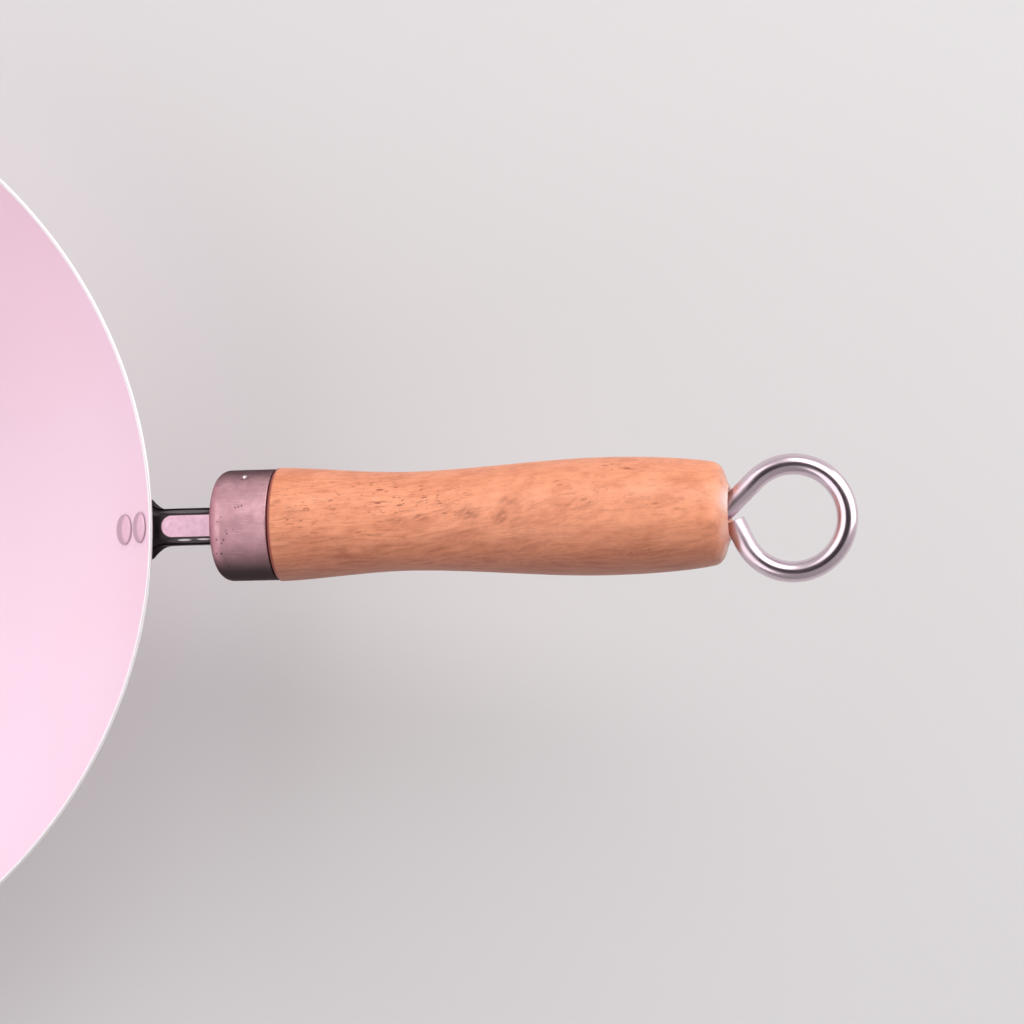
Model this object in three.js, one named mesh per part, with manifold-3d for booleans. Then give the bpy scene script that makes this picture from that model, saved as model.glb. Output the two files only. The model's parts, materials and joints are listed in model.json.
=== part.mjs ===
// A long-handled wok: a pressed steel bowl with a flat base, a cast bracket riveted to its wall,
// and a turned wooden grip with a steel ferrule, drawn up to the bracket by a long eye bolt.
//
// Millimetres, +Z up. The origin is the centre of the base, on the surface that the wok stands on.
// The handle points along +X and rises from the rim.

import * as THREE from "three";
import { mergeVertices } from "three/addons/utils/BufferGeometryUtils.js";
import Module from "manifold-3d";

const wasm = await Module();
wasm.setup();

const { clamp, degToRad, lerp, smoothstep } = THREE.MathUtils;

// Bowl
const RIM_RADIUS = 140;
const BOWL_HEIGHT = 84;
const BASE_RADIUS = 62;
const KNUCKLE_RADIUS = 14; // bend between the base and the wall
const RIM_SLOPE = degToRad(77); // wall angle at the rim, from the horizontal
const SHEET = 1.2;

// Fits
const SEAT_GAP = 0.3; // between pieces that sit on each other
const TURN_GAP = 0.4; // round the bolt in the wood, where it turns
const SHOULDER_GAP = 0.4; // dark line between the ferrule and the wood

// Rivets
const RIVET_SHANK_RADIUS = 2.5;
const RIVET_HEAD_RADIUS = 4.45;
const RIVET_HEAD_HEIGHT = 1.1;
const RIVET_HEAD_EDGE = 0.2;
const RIVET_TAIL_RADIUS = 3.2;
const RIVET_TAIL_HEIGHT = 1.8;
const RIVET_FROM_RIM = 7; // along the wall, to the upper rivet
const RIVET_PITCH = 11.4; // along the wall, between the rivets

// Bracket
const HANDLE_TILT = degToRad(20.5);
const HANDLE_DROP = 8.5; // handle axis below the rim, at the rim's radius
const NECK_LENGTH = 21; // from the rim's radius to the ferrule
const NECK_WIDTH = 10.6;
const NECK_HEIGHT = 10.4;
const NECK_CORNER = 2.6;
const PAD_WIDTH = 17.8;
const PAD_RISE = 1.9; // pad above the neck's flat top, just under the rim
const PAD_THICKNESS = 3; // at the wall, under the rivet tails
const PAD_MARGIN = 2.6; // pad beyond the lower rivet's tail
const BRACKET_WALL = 1.9; // round the pocket that holds the rivet tails
const FLARE_LENGTH = 5; // sides from the neck to the pad, outside the rim's radius
const FLARE_INSIDE = 4; // and inside it
const GUSSET_LENGTH = 10.6; // underside from the neck to the pad, outside the rim's radius
const POCKET_REACH = 10.5; // pocket outside the rim's radius
const TAIL_LENGTH = 20; // tapped tail, inside the ferrule and the grip
const TAIL_WALL = 1.2;
const THREAD_DEPTH = 18;

// Ferrule
const FERRULE_RADIUS = 16.1;
const FERRULE_LENGTH = 17.5;
const FERRULE_WALL = 1;
const FERRULE_CORNER = 4.2;
const DIMPLE_BALL = 3.2; // radius of the punch that locks the ferrule to the wood
const DIMPLE_DEPTH = 0.8;
const DIMPLE_FROM_REAR = 7.8;
const DIMPLE_TURN = degToRad(56); // from the top, towards +Y

// Grip
const GRIP_LENGTH = 132.6; // shoulder to the top of the end's dome
const GRIP_PROUD = 0.35; // wood above the ferrule at the shoulder
const SHOULDER_ROUND = 0.6;
const WAIST_RADIUS = 14.25;
const WAIST_AT = 38; // from the shoulder
const SWELL_RADIUS = 16.85;
const SWELL_AT = 95; // from the shoulder
const TAPER_RADIUS = 14.7; // where the end starts to round
const TAPER_LENGTH = 6.1; // rounded end
const END_RADIUS = 8.6; // edge of the low dome on the end
const END_DOME = 2.15;
const COUNTERSINK_BELOW = 0.9; // countersink below the start of the eye's bend

// Eye bolt
const WIRE_RADIUS = 3;
const THREAD_ENGAGED = 14;
const EYE_RADIUS = 15.25; // to the middle of the wire
const EYE_OUT = 16; // eye centre beyond the end of the grip
const EYE_ASIDE = -1.8; // eye centre beside the bolt's axis
const CROTCH_BEND = 6; // bend from the shank into the eye
const CROTCH_DEPTH = 6.4; // where that bend starts, inside the countersink
const WIRE_END_OUT = -0.6; // cut end of the wire, just inside the mouth of the countersink
const WIRE_END_ASIDE = -2.3;

// Facets
const BOWL_SEGMENTS = 72;
const TURNED_SEGMENTS = 40;
const RIVET_SEGMENTS = 20;
const WIRE_SIDES = 12;
const WIRE_STEP = 3.2; // along the wire
const BRACKET_STEP = 1.2; // along the bracket
const POCKET_STEP = 2.4;

// Solids

// A geometry with its shared corners merged and its flat triangles left out.
function weld(geometry) {
  const bare = geometry.clone();
  bare.deleteAttribute("normal");
  bare.deleteAttribute("uv");
  const merged = mergeVertices(bare, 1e-4);
  const kept = [];
  const corners = merged.index.array;
  for (let i = 0; i < corners.length; i += 3) {
    const [a, b, c] = corners.slice(i, i + 3);
    if (a !== b && b !== c && c !== a) kept.push(a, b, c);
  }
  merged.setIndex(kept);
  return merged;
}

function toSolid(geometry) {
  const welded = weld(geometry);
  const vertProperties = new Float32Array(welded.attributes.position.array);
  const triVerts = new Uint32Array(welded.index.array);
  return new wasm.Manifold(new wasm.Mesh({ numProp: 3, vertProperties, triVerts }));
}

function toGeometry(solid) {
  const mesh = solid.getMesh();
  const geometry = new THREE.BufferGeometry();
  geometry.setAttribute("position", new THREE.BufferAttribute(mesh.vertProperties, 3));
  geometry.setIndex(new THREE.BufferAttribute(mesh.triVerts, 1));
  return geometry;
}

const point = (x, y) => new THREE.Vector2(x, y);

function arc(centre, radius, from, to, steps) {
  const points = [];
  for (let i = 0; i <= steps; i++) {
    const angle = from + ((to - from) * i) / steps;
    points.push(point(centre.x + radius * Math.cos(angle), centre.y + radius * Math.sin(angle)));
  }
  return points;
}

const bezier = (a, b, c, d, steps) => new THREE.CubicBezierCurve(a, b, c, d).getPoints(steps);

// A profile of (radius, height) turned round the Z axis, or round the X axis.
function turnedOnZ(profile, segments) {
  return new THREE.LatheGeometry(profile, segments).rotateX(Math.PI / 2);
}

function turnedOnX(profile, segments) {
  return new THREE.LatheGeometry(profile, segments).rotateZ(-Math.PI / 2);
}

// A skin through rings of points, each ring seen anticlockwise from the far end, with flat ends.
function loft(rings) {
  const sides = rings[0].length;
  const index = [];
  for (let i = 0; i + 1 < rings.length; i++) {
    for (let j = 0; j < sides; j++) {
      const a = i * sides + j;
      const b = i * sides + ((j + 1) % sides);
      index.push(a, b, b + sides, a, b + sides, a + sides);
    }
  }
  const last = (rings.length - 1) * sides;
  for (let j = 1; j + 1 < sides; j++) {
    index.push(0, j + 1, j);
    index.push(last, last + j, last + j + 1);
  }
  return new THREE.BufferGeometry().setFromPoints(rings.flat()).setIndex(index);
}

// The place between low and high where a rising function has a value.
function solve(rising, value, low, high) {
  const middle = (low + high) / 2;
  if (high - low < 1e-12) return middle;
  return rising(middle) < value ? solve(rising, value, middle, high) : solve(rising, value, low, middle);
}

// Bowl wall

// The knuckle and the wall are two arcs that meet in a tangent. The slope where they meet follows
// from the base, the rim and the height.
function wallArc() {
  const rise = (slope) => {
    const run = RIM_RADIUS - BASE_RADIUS - KNUCKLE_RADIUS * Math.sin(slope);
    const radius = run / (Math.sin(RIM_SLOPE) - Math.sin(slope));
    const knuckle = KNUCKLE_RADIUS * (1 - Math.cos(slope));
    return { radius, height: knuckle + radius * (Math.cos(slope) - Math.cos(RIM_SLOPE)) };
  };
  const foot = solve((slope) => rise(slope).height, BOWL_HEIGHT, 0, RIM_SLOPE - degToRad(1));
  const { radius } = rise(foot);
  const centre = point(
    RIM_RADIUS - radius * Math.sin(RIM_SLOPE),
    BOWL_HEIGHT + radius * Math.cos(RIM_SLOPE),
  );
  return { foot, radius, centre };
}

const WALL = wallArc();

// The outer face of the bowl from the base's edge to the rim, moved outwards by a distance.
function outerFace(outwards) {
  const down = -Math.PI / 2;
  const knuckleSteps = 4;
  const wallSteps = 12;
  const knuckleCentre = point(BASE_RADIUS, KNUCKLE_RADIUS);
  const knuckle = arc(knuckleCentre, KNUCKLE_RADIUS + outwards, down, down + WALL.foot, knuckleSteps);
  const wall = arc(WALL.centre, WALL.radius + outwards, down + WALL.foot, down + RIM_SLOPE, wallSteps);
  return [...knuckle, ...wall.slice(1)];
}

// A point on the wall's outer face at a distance below the rim, with its outward normal.
function onWall(belowRim) {
  const slope = RIM_SLOPE - belowRim / WALL.radius;
  const normal = new THREE.Vector3(Math.sin(slope), 0, -Math.cos(slope));
  const centre = new THREE.Vector3(WALL.centre.x, 0, WALL.centre.y);
  return { place: centre.addScaledVector(normal, WALL.radius), normal };
}

// Everything inside the bowl's outer face, grown by a distance: it trims what lies on the wall.
function bowlFilled(outwards) {
  const face = outerFace(outwards);
  const lip = face[face.length - 1];
  const top = lip.y + RIVET_FROM_RIM;
  return turnedOnZ([point(0, -outwards), ...face, point(lip.x, top), point(0, top)], BOWL_SEGMENTS);
}

const RIVET_PLACES = {
  rivet_upper: onWall(RIVET_FROM_RIM),
  rivet_lower: onWall(RIVET_FROM_RIM + RIVET_PITCH),
};

const alongNormal = (normal) =>
  new THREE.Quaternion().setFromUnitVectors(new THREE.Vector3(0, 1, 0), normal);

function rivetHoles() {
  const length = 4 * (SHEET + PAD_THICKNESS);
  return Object.values(RIVET_PLACES).map(({ place, normal }) => {
    const hole = new THREE.CylinderGeometry(
      RIVET_SHANK_RADIUS + SEAT_GAP, RIVET_SHANK_RADIUS + SEAT_GAP, length, RIVET_SEGMENTS,
    );
    return hole.applyQuaternion(alongNormal(normal)).translate(place.x, place.y, place.z);
  });
}

function bowlGeometry() {
  const outer = outerFace(0);
  const inner = outerFace(-SHEET).reverse();
  const lipCentre = outer[outer.length - 1].clone().lerp(inner[0], 0.5);
  const outwards = RIM_SLOPE - Math.PI / 2;
  const lip = arc(lipCentre, SHEET / 2, outwards, outwards + Math.PI, 4).slice(1, -1);
  const profile = [point(0, 0), ...outer, ...lip, ...inner, point(0, SHEET)];
  let bowl = toSolid(turnedOnZ(profile, BOWL_SEGMENTS));
  for (const hole of rivetHoles()) bowl = bowl.subtract(toSolid(hole));
  return toGeometry(bowl);
}

// Rivets

// A low domed head inside the bowl, a shank through the wall and the pad, and an upset tail.
// Height zero is the wall's outer face and the tail is upwards. The head stands on its edge, because
// the wall is hollow under it.
function rivetGeometry() {
  const hollow = RIVET_HEAD_RADIUS ** 2 / (2 * WALL.radius);
  const headSeat = -SHEET - SEAT_GAP - hollow;
  const tailSeat = PAD_THICKNESS + 2 * SEAT_GAP;
  const steps = 4;
  const dome = (radius, height, edge) => {
    const crown = [];
    for (let i = 0; i <= steps; i++) {
      const angle = (i / steps) * (Math.PI / 2);
      crown.push(point(radius * Math.sin(angle), edge + (height - edge) * Math.cos(angle)));
    }
    return crown;
  };
  const head = dome(RIVET_HEAD_RADIUS, RIVET_HEAD_HEIGHT, RIVET_HEAD_EDGE);
  const tail = dome(RIVET_TAIL_RADIUS, RIVET_TAIL_HEIGHT, RIVET_TAIL_HEIGHT / 2).reverse();
  const profile = [
    ...head.map((p) => point(p.x, headSeat - p.y)),
    point(RIVET_HEAD_RADIUS, headSeat),
    point(RIVET_SHANK_RADIUS, headSeat),
    point(RIVET_SHANK_RADIUS, tailSeat),
    point(RIVET_TAIL_RADIUS, tailSeat),
    ...tail.map((p) => point(p.x, tailSeat + p.y)),
  ];
  return weld(new THREE.LatheGeometry(profile, RIVET_SEGMENTS));
}

// Handle frame: X along the handle from the rim's radius, Y across, Z up out of the handle's top.
const handle = new THREE.Group();
handle.position.set(RIM_RADIUS, 0, BOWL_HEIGHT - HANDLE_DROP);
handle.rotation.y = -HANDLE_TILT;
handle.updateMatrix();
const toHandle = handle.matrix.clone().invert();

const FERRULE_FRONT = NECK_LENGTH;
const FERRULE_REAR = FERRULE_FRONT + FERRULE_LENGTH;
const GRIP_FRONT = FERRULE_REAR + SHOULDER_GAP;
const GRIP_END = GRIP_FRONT + GRIP_LENGTH;
const THREAD_RADIUS = WIRE_RADIUS + SEAT_GAP;
const TAIL_RADIUS = THREAD_RADIUS + TAIL_WALL;
const TAIL_END = FERRULE_FRONT + TAIL_LENGTH;
const SOCKET_RADIUS = TAIL_RADIUS + SEAT_GAP; // hole for the tail in the ferrule and the grip

// Bracket

// The space that a rivet's tail takes, in the handle frame, as its highest and lowest point.
function tailReach({ place, normal }) {
  const middle = PAD_THICKNESS + 2 * SEAT_GAP + RIVET_TAIL_HEIGHT / 2;
  const centre = place.clone().addScaledVector(normal, middle).applyMatrix4(toHandle);
  const lean = Math.acos(normal.x) + HANDLE_TILT; // between the rivet's axis and the handle's
  const reach = RIVET_TAIL_RADIUS * Math.cos(lean) + (RIVET_TAIL_HEIGHT / 2) * Math.sin(lean);
  return { high: centre.z + reach, low: centre.z - reach, along: centre.x };
}

const UPPER_TAIL = tailReach(RIVET_PLACES.rivet_upper);
const LOWER_TAIL = tailReach(RIVET_PLACES.rivet_lower);
const ROOT_TOP = Math.max(NECK_HEIGHT / 2 + PAD_RISE, UPPER_TAIL.high + SEAT_GAP + BRACKET_WALL);
const ROOT_BOTTOM = Math.min(-NECK_HEIGHT / 2, LOWER_TAIL.low - PAD_MARGIN);
const ROOT_AT = LOWER_TAIL.along - PAD_MARGIN; // from here inwards the bracket has its full depth

// Half-width, top, bottom and corner radius of the bracket's section at a place along the handle.
// Its sides and top run out to the pad in a parabola. The corners grow with the width, so the flat on
// top keeps its own width.
function bracketSection(x) {
  const splay = clamp((FLARE_LENGTH - x) / (FLARE_LENGTH + FLARE_INSIDE), 0, 1) ** 2;
  const deepen = 1 - smoothstep(x, ROOT_AT, GUSSET_LENGTH);
  const half = lerp(NECK_WIDTH, PAD_WIDTH, splay) / 2;
  const top = lerp(NECK_HEIGHT / 2, ROOT_TOP, splay);
  const bottom = lerp(-NECK_HEIGHT / 2, ROOT_BOTTOM, deepen);
  return { half, top, bottom, corner: NECK_CORNER + half - NECK_WIDTH / 2 };
}

function roundedSection(x, half, top, bottom, corner) {
  const quarter = Math.PI / 2;
  const steps = 4;
  const corners = [
    [half - corner, bottom + corner, -quarter],
    [half - corner, top - corner, 0],
    [corner - half, top - corner, quarter],
    [corner - half, bottom + corner, 2 * quarter],
  ];
  return corners
    .flatMap(([y, z, from]) => arc(point(y, z), corner, from, from + quarter, steps))
    .map((p) => new THREE.Vector3(x, p.x, p.y));
}

function stations(from, to, step) {
  const count = Math.ceil((to - from) / step);
  return Array.from({ length: count + 1 }, (_, i) => from + ((to - from) * i) / count);
}

function bracketGeometry() {
  const inside = ROOT_AT - PAD_WIDTH; // behind the wall, trimmed off below
  const outside = stations(ROOT_AT, GUSSET_LENGTH, BRACKET_STEP);
  const body = [inside, ...outside, FERRULE_FRONT - SEAT_GAP].map((x) => {
    const { half, top, bottom, corner } = bracketSection(x);
    return roundedSection(x, half, top, bottom, corner);
  });
  const hollow = [inside, ...stations(ROOT_AT, POCKET_REACH, POCKET_STEP)].map((x) => {
    const { half, top } = bracketSection(x);
    const below = 2 * ROOT_BOTTOM;
    return roundedSection(x, half - BRACKET_WALL, top - BRACKET_WALL, below, NECK_CORNER / 2);
  });
  const tail = [
    point(0, FERRULE_FRONT - NECK_CORNER),
    point(TAIL_RADIUS, FERRULE_FRONT - NECK_CORNER),
    point(TAIL_RADIUS, TAIL_END),
    point(THREAD_RADIUS, TAIL_END),
    point(THREAD_RADIUS, TAIL_END - THREAD_DEPTH),
    point(0, TAIL_END - THREAD_DEPTH),
  ];
  const trim = (outwards) => toSolid(bowlFilled(outwards).applyMatrix4(toHandle));
  const pocket = toSolid(loft(hollow)).subtract(trim(SEAT_GAP + PAD_THICKNESS));
  let bracket = toSolid(loft(body)).subtract(trim(SEAT_GAP)).subtract(pocket);
  bracket = bracket.add(toSolid(turnedOnX(tail, TURNED_SEGMENTS)));
  for (const hole of rivetHoles()) bracket = bracket.subtract(toSolid(hole.applyMatrix4(toHandle)));
  return toGeometry(bracket);
}

// Ferrule

const dimpleDirection = new THREE.Vector3(0, Math.sin(DIMPLE_TURN), Math.cos(DIMPLE_TURN));

// The punch's ball, grown by a distance, at its place over the ferrule.
function punchBall(grown) {
  const centre = dimpleDirection.clone().multiplyScalar(FERRULE_RADIUS + DIMPLE_BALL - DIMPLE_DEPTH);
  const ball = new THREE.SphereGeometry(DIMPLE_BALL + grown, RIVET_SEGMENTS, RIVET_SEGMENTS / 2);
  return ball.translate(FERRULE_REAR - DIMPLE_FROM_REAR, centre.y, centre.z);
}

function ferruleGeometry() {
  const steps = 4;
  const cornerCentre = point(FERRULE_RADIUS - FERRULE_CORNER, FERRULE_FRONT + FERRULE_CORNER);
  const outside = arc(cornerCentre, FERRULE_CORNER, -Math.PI / 2, 0, steps);
  const inside = arc(cornerCentre, FERRULE_CORNER - FERRULE_WALL, 0, -Math.PI / 2, steps);
  const start = point(SOCKET_RADIUS, FERRULE_FRONT);
  const cup = [
    start,
    ...outside,
    point(FERRULE_RADIUS, FERRULE_REAR),
    point(FERRULE_RADIUS - FERRULE_WALL, FERRULE_REAR),
    ...inside,
    point(SOCKET_RADIUS, FERRULE_FRONT + FERRULE_WALL),
    start.clone(),
  ];
  const barrel = [
    point(0, FERRULE_FRONT + FERRULE_CORNER),
    point(FERRULE_RADIUS, FERRULE_FRONT + FERRULE_CORNER),
    point(FERRULE_RADIUS, FERRULE_REAR),
    point(0, FERRULE_REAR),
  ];
  const withinBarrel = toSolid(turnedOnX(barrel, TURNED_SEGMENTS));
  const bump = toSolid(punchBall(FERRULE_WALL)).intersect(withinBarrel);
  const ferrule = toSolid(turnedOnX(cup, TURNED_SEGMENTS)).add(bump);
  return toGeometry(ferrule.subtract(toSolid(punchBall(0))));
}

// Eye bolt

// The wire's middle line in the plane of the eye: the shank, the bend out of the countersink, a
// straight run to the eye, the eye itself, and a straight run back to the cut end.
function wirePath() {
  const eye = point(GRIP_END + EYE_OUT, EYE_ASIDE);
  const cut = point(GRIP_END + WIRE_END_OUT, WIRE_END_ASIDE);
  const bendAt = GRIP_END - CROTCH_DEPTH;
  // How far the eye's centre lies to the right of the straight run: one radius, where they touch.
  const rightOf = (turn) => {
    const from = point(bendAt + CROTCH_BEND * Math.sin(turn), CROTCH_BEND * (1 - Math.cos(turn)));
    return (eye.x - from.x) * Math.sin(turn) - (eye.y - from.y) * Math.cos(turn);
  };
  const turn = solve(rightOf, EYE_RADIUS, 0, Math.PI / 2);
  const toCut = cut.clone().sub(eye);
  const leave = toCut.angle() + Math.acos(EYE_RADIUS / toCut.length());
  const path = new THREE.Path();
  path.moveTo(TAIL_END - THREAD_ENGAGED, 0);
  path.lineTo(bendAt, 0);
  path.absarc(bendAt, CROTCH_BEND, CROTCH_BEND, -Math.PI / 2, turn - Math.PI / 2, false);
  path.absarc(eye.x, eye.y, EYE_RADIUS, turn + Math.PI / 2, leave, true);
  path.lineTo(cut.x, cut.y);
  return path;
}

// The low dome on the grip's end, at a distance from the axis.
const endFace = (radius) => GRIP_END - END_DOME * (radius / END_RADIUS) ** 2;

// How far the sides of the wire stand off the bolt's axis where they cross the end of the grip.
function crotchReach() {
  const path = wirePath();
  const samples = 400;
  let reach = WIRE_RADIUS;
  for (let i = 0; i <= samples; i++) {
    const middle = path.getPointAt(i / samples);
    const along = path.getTangentAt(i / samples);
    for (const side of [-WIRE_RADIUS, WIRE_RADIUS]) {
      const x = middle.x - side * along.y;
      const y = middle.y + side * along.x;
      if (x <= endFace(y)) reach = Math.max(reach, Math.abs(y));
    }
  }
  return reach;
}

class WireLine extends THREE.Curve {
  constructor(path) {
    super();
    this.path = path;
  }

  getPoint(t, target = new THREE.Vector3()) {
    const { x, y } = this.path.getPoint(t);
    return target.set(x, y, 0);
  }
}

function eyeBoltGeometry() {
  const path = wirePath();
  const section = new THREE.Shape().absarc(0, 0, WIRE_RADIUS, 0, 2 * Math.PI, false);
  return weld(new THREE.ExtrudeGeometry(section, {
    extrudePath: new WireLine(path),
    steps: Math.ceil(path.getLength() / WIRE_STEP),
    curveSegments: WIRE_SIDES / 2,
    bevelEnabled: false,
  }));
}

// Grip

function gripGeometry() {
  const front = FERRULE_FRONT + FERRULE_WALL + SEAT_GAP;
  const spigot = FERRULE_RADIUS - FERRULE_WALL - SEAT_GAP;
  const spigotCorner = FERRULE_CORNER - FERRULE_WALL;
  const shoulder = FERRULE_RADIUS + GRIP_PROUD;
  const waist = point(WAIST_RADIUS, GRIP_FRONT + WAIST_AT);
  const swell = point(SWELL_RADIUS, GRIP_FRONT + SWELL_AT);
  const taper = point(TAPER_RADIUS, GRIP_END - TAPER_LENGTH);
  const end = point(END_RADIUS, endFace(END_RADIUS));
  const endRun = (TAPER_RADIUS - END_RADIUS) / 3;
  const endSlope = (2 * END_DOME) / END_RADIUS;
  const bore = WIRE_RADIUS + TURN_GAP;
  const sunk = crotchReach() + TURN_GAP;
  const mouth = point(sunk, endFace(sunk));
  const lip = point(shoulder, GRIP_FRONT + SHOULDER_ROUND);
  const third = (a, b) => (b.y - a.y) / 3;
  const profile = [
    point(SOCKET_RADIUS, front),
    ...arc(point(spigot - spigotCorner, front + spigotCorner), spigotCorner, -Math.PI / 2, 0, 4),
    point(spigot, GRIP_FRONT),
    ...arc(point(shoulder - SHOULDER_ROUND, lip.y), SHOULDER_ROUND, -Math.PI / 2, 0, 2),
    ...bezier(
      lip, point(shoulder - GRIP_PROUD, lip.y + third(lip, waist)),
      point(waist.x, waist.y - third(lip, waist)), waist, 6,
    ).slice(1),
    ...bezier(
      waist, point(waist.x, waist.y + third(waist, swell)),
      point(swell.x, swell.y - third(waist, swell)), swell, 7,
    ).slice(1),
    ...bezier(
      swell, point(swell.x, swell.y + third(swell, taper) * 1.4),
      point(taper.x + (swell.x - taper.x) / 2, taper.y - third(swell, taper) / 2), taper, 5,
    ).slice(1),
    ...bezier(
      taper, point(taper.x - endRun / 2, taper.y + TAPER_LENGTH / 2),
      point(end.x + endRun, end.y - endRun * endSlope), end, 5,
    ).slice(1),
    point((END_RADIUS + sunk) / 2, endFace((END_RADIUS + sunk) / 2)),
    mouth,
    point(bore, GRIP_END - CROTCH_DEPTH - COUNTERSINK_BELOW),
    point(bore, TAIL_END + SEAT_GAP),
    point(SOCKET_RADIUS, TAIL_END + SEAT_GAP),
    point(SOCKET_RADIUS, front),
  ];
  const grip = toSolid(turnedOnX(profile, TURNED_SEGMENTS));
  return toGeometry(grip.subtract(toSolid(punchBall(FERRULE_WALL + SEAT_GAP))));
}

// Assembly

const pinkCoat = new THREE.MeshStandardMaterial({ color: 0xf4d3e2, roughness: 0.4, metalness: 0 });
const castSteel = new THREE.MeshStandardMaterial({ color: 0x8a7f84, roughness: 0.2, metalness: 1 });
const drawnSteel = new THREE.MeshStandardMaterial({ color: 0x8b7178, roughness: 0.4, metalness: 1 });
const rivetSteel = new THREE.MeshStandardMaterial({ color: 0xdcc0cb, roughness: 0.35, metalness: 0.5 });
const wireSteel = new THREE.MeshStandardMaterial({ color: 0xcfc3c9, roughness: 0.12, metalness: 1 });
const wood = new THREE.MeshStandardMaterial({ color: 0xe09b72, roughness: 0.5, metalness: 0 });

function piece(name, geometry, material) {
  geometry.computeVertexNormals();
  const mesh = new THREE.Mesh(geometry, material);
  mesh.name = name;
  return mesh;
}

handle.add(
  piece("handle_bracket", bracketGeometry(), castSteel),
  piece("ferrule", ferruleGeometry(), drawnSteel),
  piece("wooden_grip", gripGeometry(), wood),
  piece("eye_bolt", eyeBoltGeometry(), wireSteel),
);

const wok = new THREE.Group();
wok.add(piece("wok_bowl", bowlGeometry(), pinkCoat), handle);
for (const [name, { place, normal }] of Object.entries(RIVET_PLACES)) {
  const rivet = piece(name, rivetGeometry(), rivetSteel);
  rivet.position.copy(place);
  rivet.quaternion.copy(alongNormal(normal));
  wok.add(rivet);
}

export default wok;
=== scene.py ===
import json
import math

import bmesh
import bpy
from mathutils import Matrix, Vector


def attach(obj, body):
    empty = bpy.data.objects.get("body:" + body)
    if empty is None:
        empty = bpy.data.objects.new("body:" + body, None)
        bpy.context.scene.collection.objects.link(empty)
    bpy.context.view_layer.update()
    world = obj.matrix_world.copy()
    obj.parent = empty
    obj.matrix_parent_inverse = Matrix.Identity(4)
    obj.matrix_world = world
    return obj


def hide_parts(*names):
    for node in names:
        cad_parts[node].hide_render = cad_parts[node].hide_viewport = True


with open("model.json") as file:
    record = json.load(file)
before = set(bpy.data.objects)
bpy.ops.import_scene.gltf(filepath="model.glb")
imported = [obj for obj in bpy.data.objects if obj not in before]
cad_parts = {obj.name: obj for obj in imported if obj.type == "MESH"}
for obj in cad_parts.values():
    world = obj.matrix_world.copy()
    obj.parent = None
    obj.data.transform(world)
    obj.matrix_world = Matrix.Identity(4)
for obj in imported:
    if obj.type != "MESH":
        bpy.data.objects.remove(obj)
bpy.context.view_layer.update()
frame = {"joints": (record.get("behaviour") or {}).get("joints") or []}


# Bowl: one disc of steel sheet, pressed to a flat base, a bent knuckle and a curved wall.
# A satin pink ceramic coat covers it inside and out, and the rounded lip is polished back to bare metal.

MM = 0.001
RIM_RADIUS = 140 * MM
RIM_HEIGHT = 84 * MM
RIM_SLOPE = math.radians(77)
BASE_RADIUS = 62 * MM
KNUCKLE_RADIUS = 14 * MM
SHEET = 1.2 * MM
BOWL_STEPS = 240
KNUCKLE_STEPS = 16
WALL_STEPS = 44
LIP_STEPS = 10
CREASE = 40  # degrees


def solve(rising, value, low, high):
    """Finds where a rising function reaches a value."""
    for _ in range(60):
        middle = (low + high) / 2
        low, high = (middle, high) if rising(middle) < value else (low, middle)
    return middle


def wall_radius(foot):
    """Radius of the wall's arc if it leaves the knuckle at this slope and meets the rim."""
    run = RIM_RADIUS - BASE_RADIUS - KNUCKLE_RADIUS * math.sin(foot)
    return run / (math.sin(RIM_SLOPE) - math.sin(foot))


def wall_height(foot):
    """Height of the rim if the wall leaves the knuckle at this slope."""
    rise = wall_radius(foot) * (math.cos(foot) - math.cos(RIM_SLOPE))
    return KNUCKLE_RADIUS * (1 - math.cos(foot)) + rise


FOOT_SLOPE = solve(wall_height, RIM_HEIGHT, 0, RIM_SLOPE - math.radians(1))
WALL_RADIUS = wall_radius(FOOT_SLOPE)
WALL_CENTRE = (
    RIM_RADIUS - WALL_RADIUS * math.sin(RIM_SLOPE),
    RIM_HEIGHT + WALL_RADIUS * math.cos(RIM_SLOPE),
)


def arc(centre, radius, start, end, steps):
    """Points of an arc, where angle zero points along the radius and the angle grows upwards."""
    angles = [start + (end - start) * step / steps for step in range(steps + 1)]
    return [(centre[0] + radius * math.cos(a), centre[1] + radius * math.sin(a)) for a in angles]


def bowl_face(outwards):
    """The section of the bowl's outer face from the base's edge to the rim, moved outwards."""
    down = -math.pi / 2
    knuckle = arc(
        (BASE_RADIUS, KNUCKLE_RADIUS), KNUCKLE_RADIUS + outwards, down, down + FOOT_SLOPE, KNUCKLE_STEPS
    )
    wall = arc(WALL_CENTRE, WALL_RADIUS + outwards, down + FOOT_SLOPE, down + RIM_SLOPE, WALL_STEPS)
    return knuckle + wall[1:]


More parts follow.
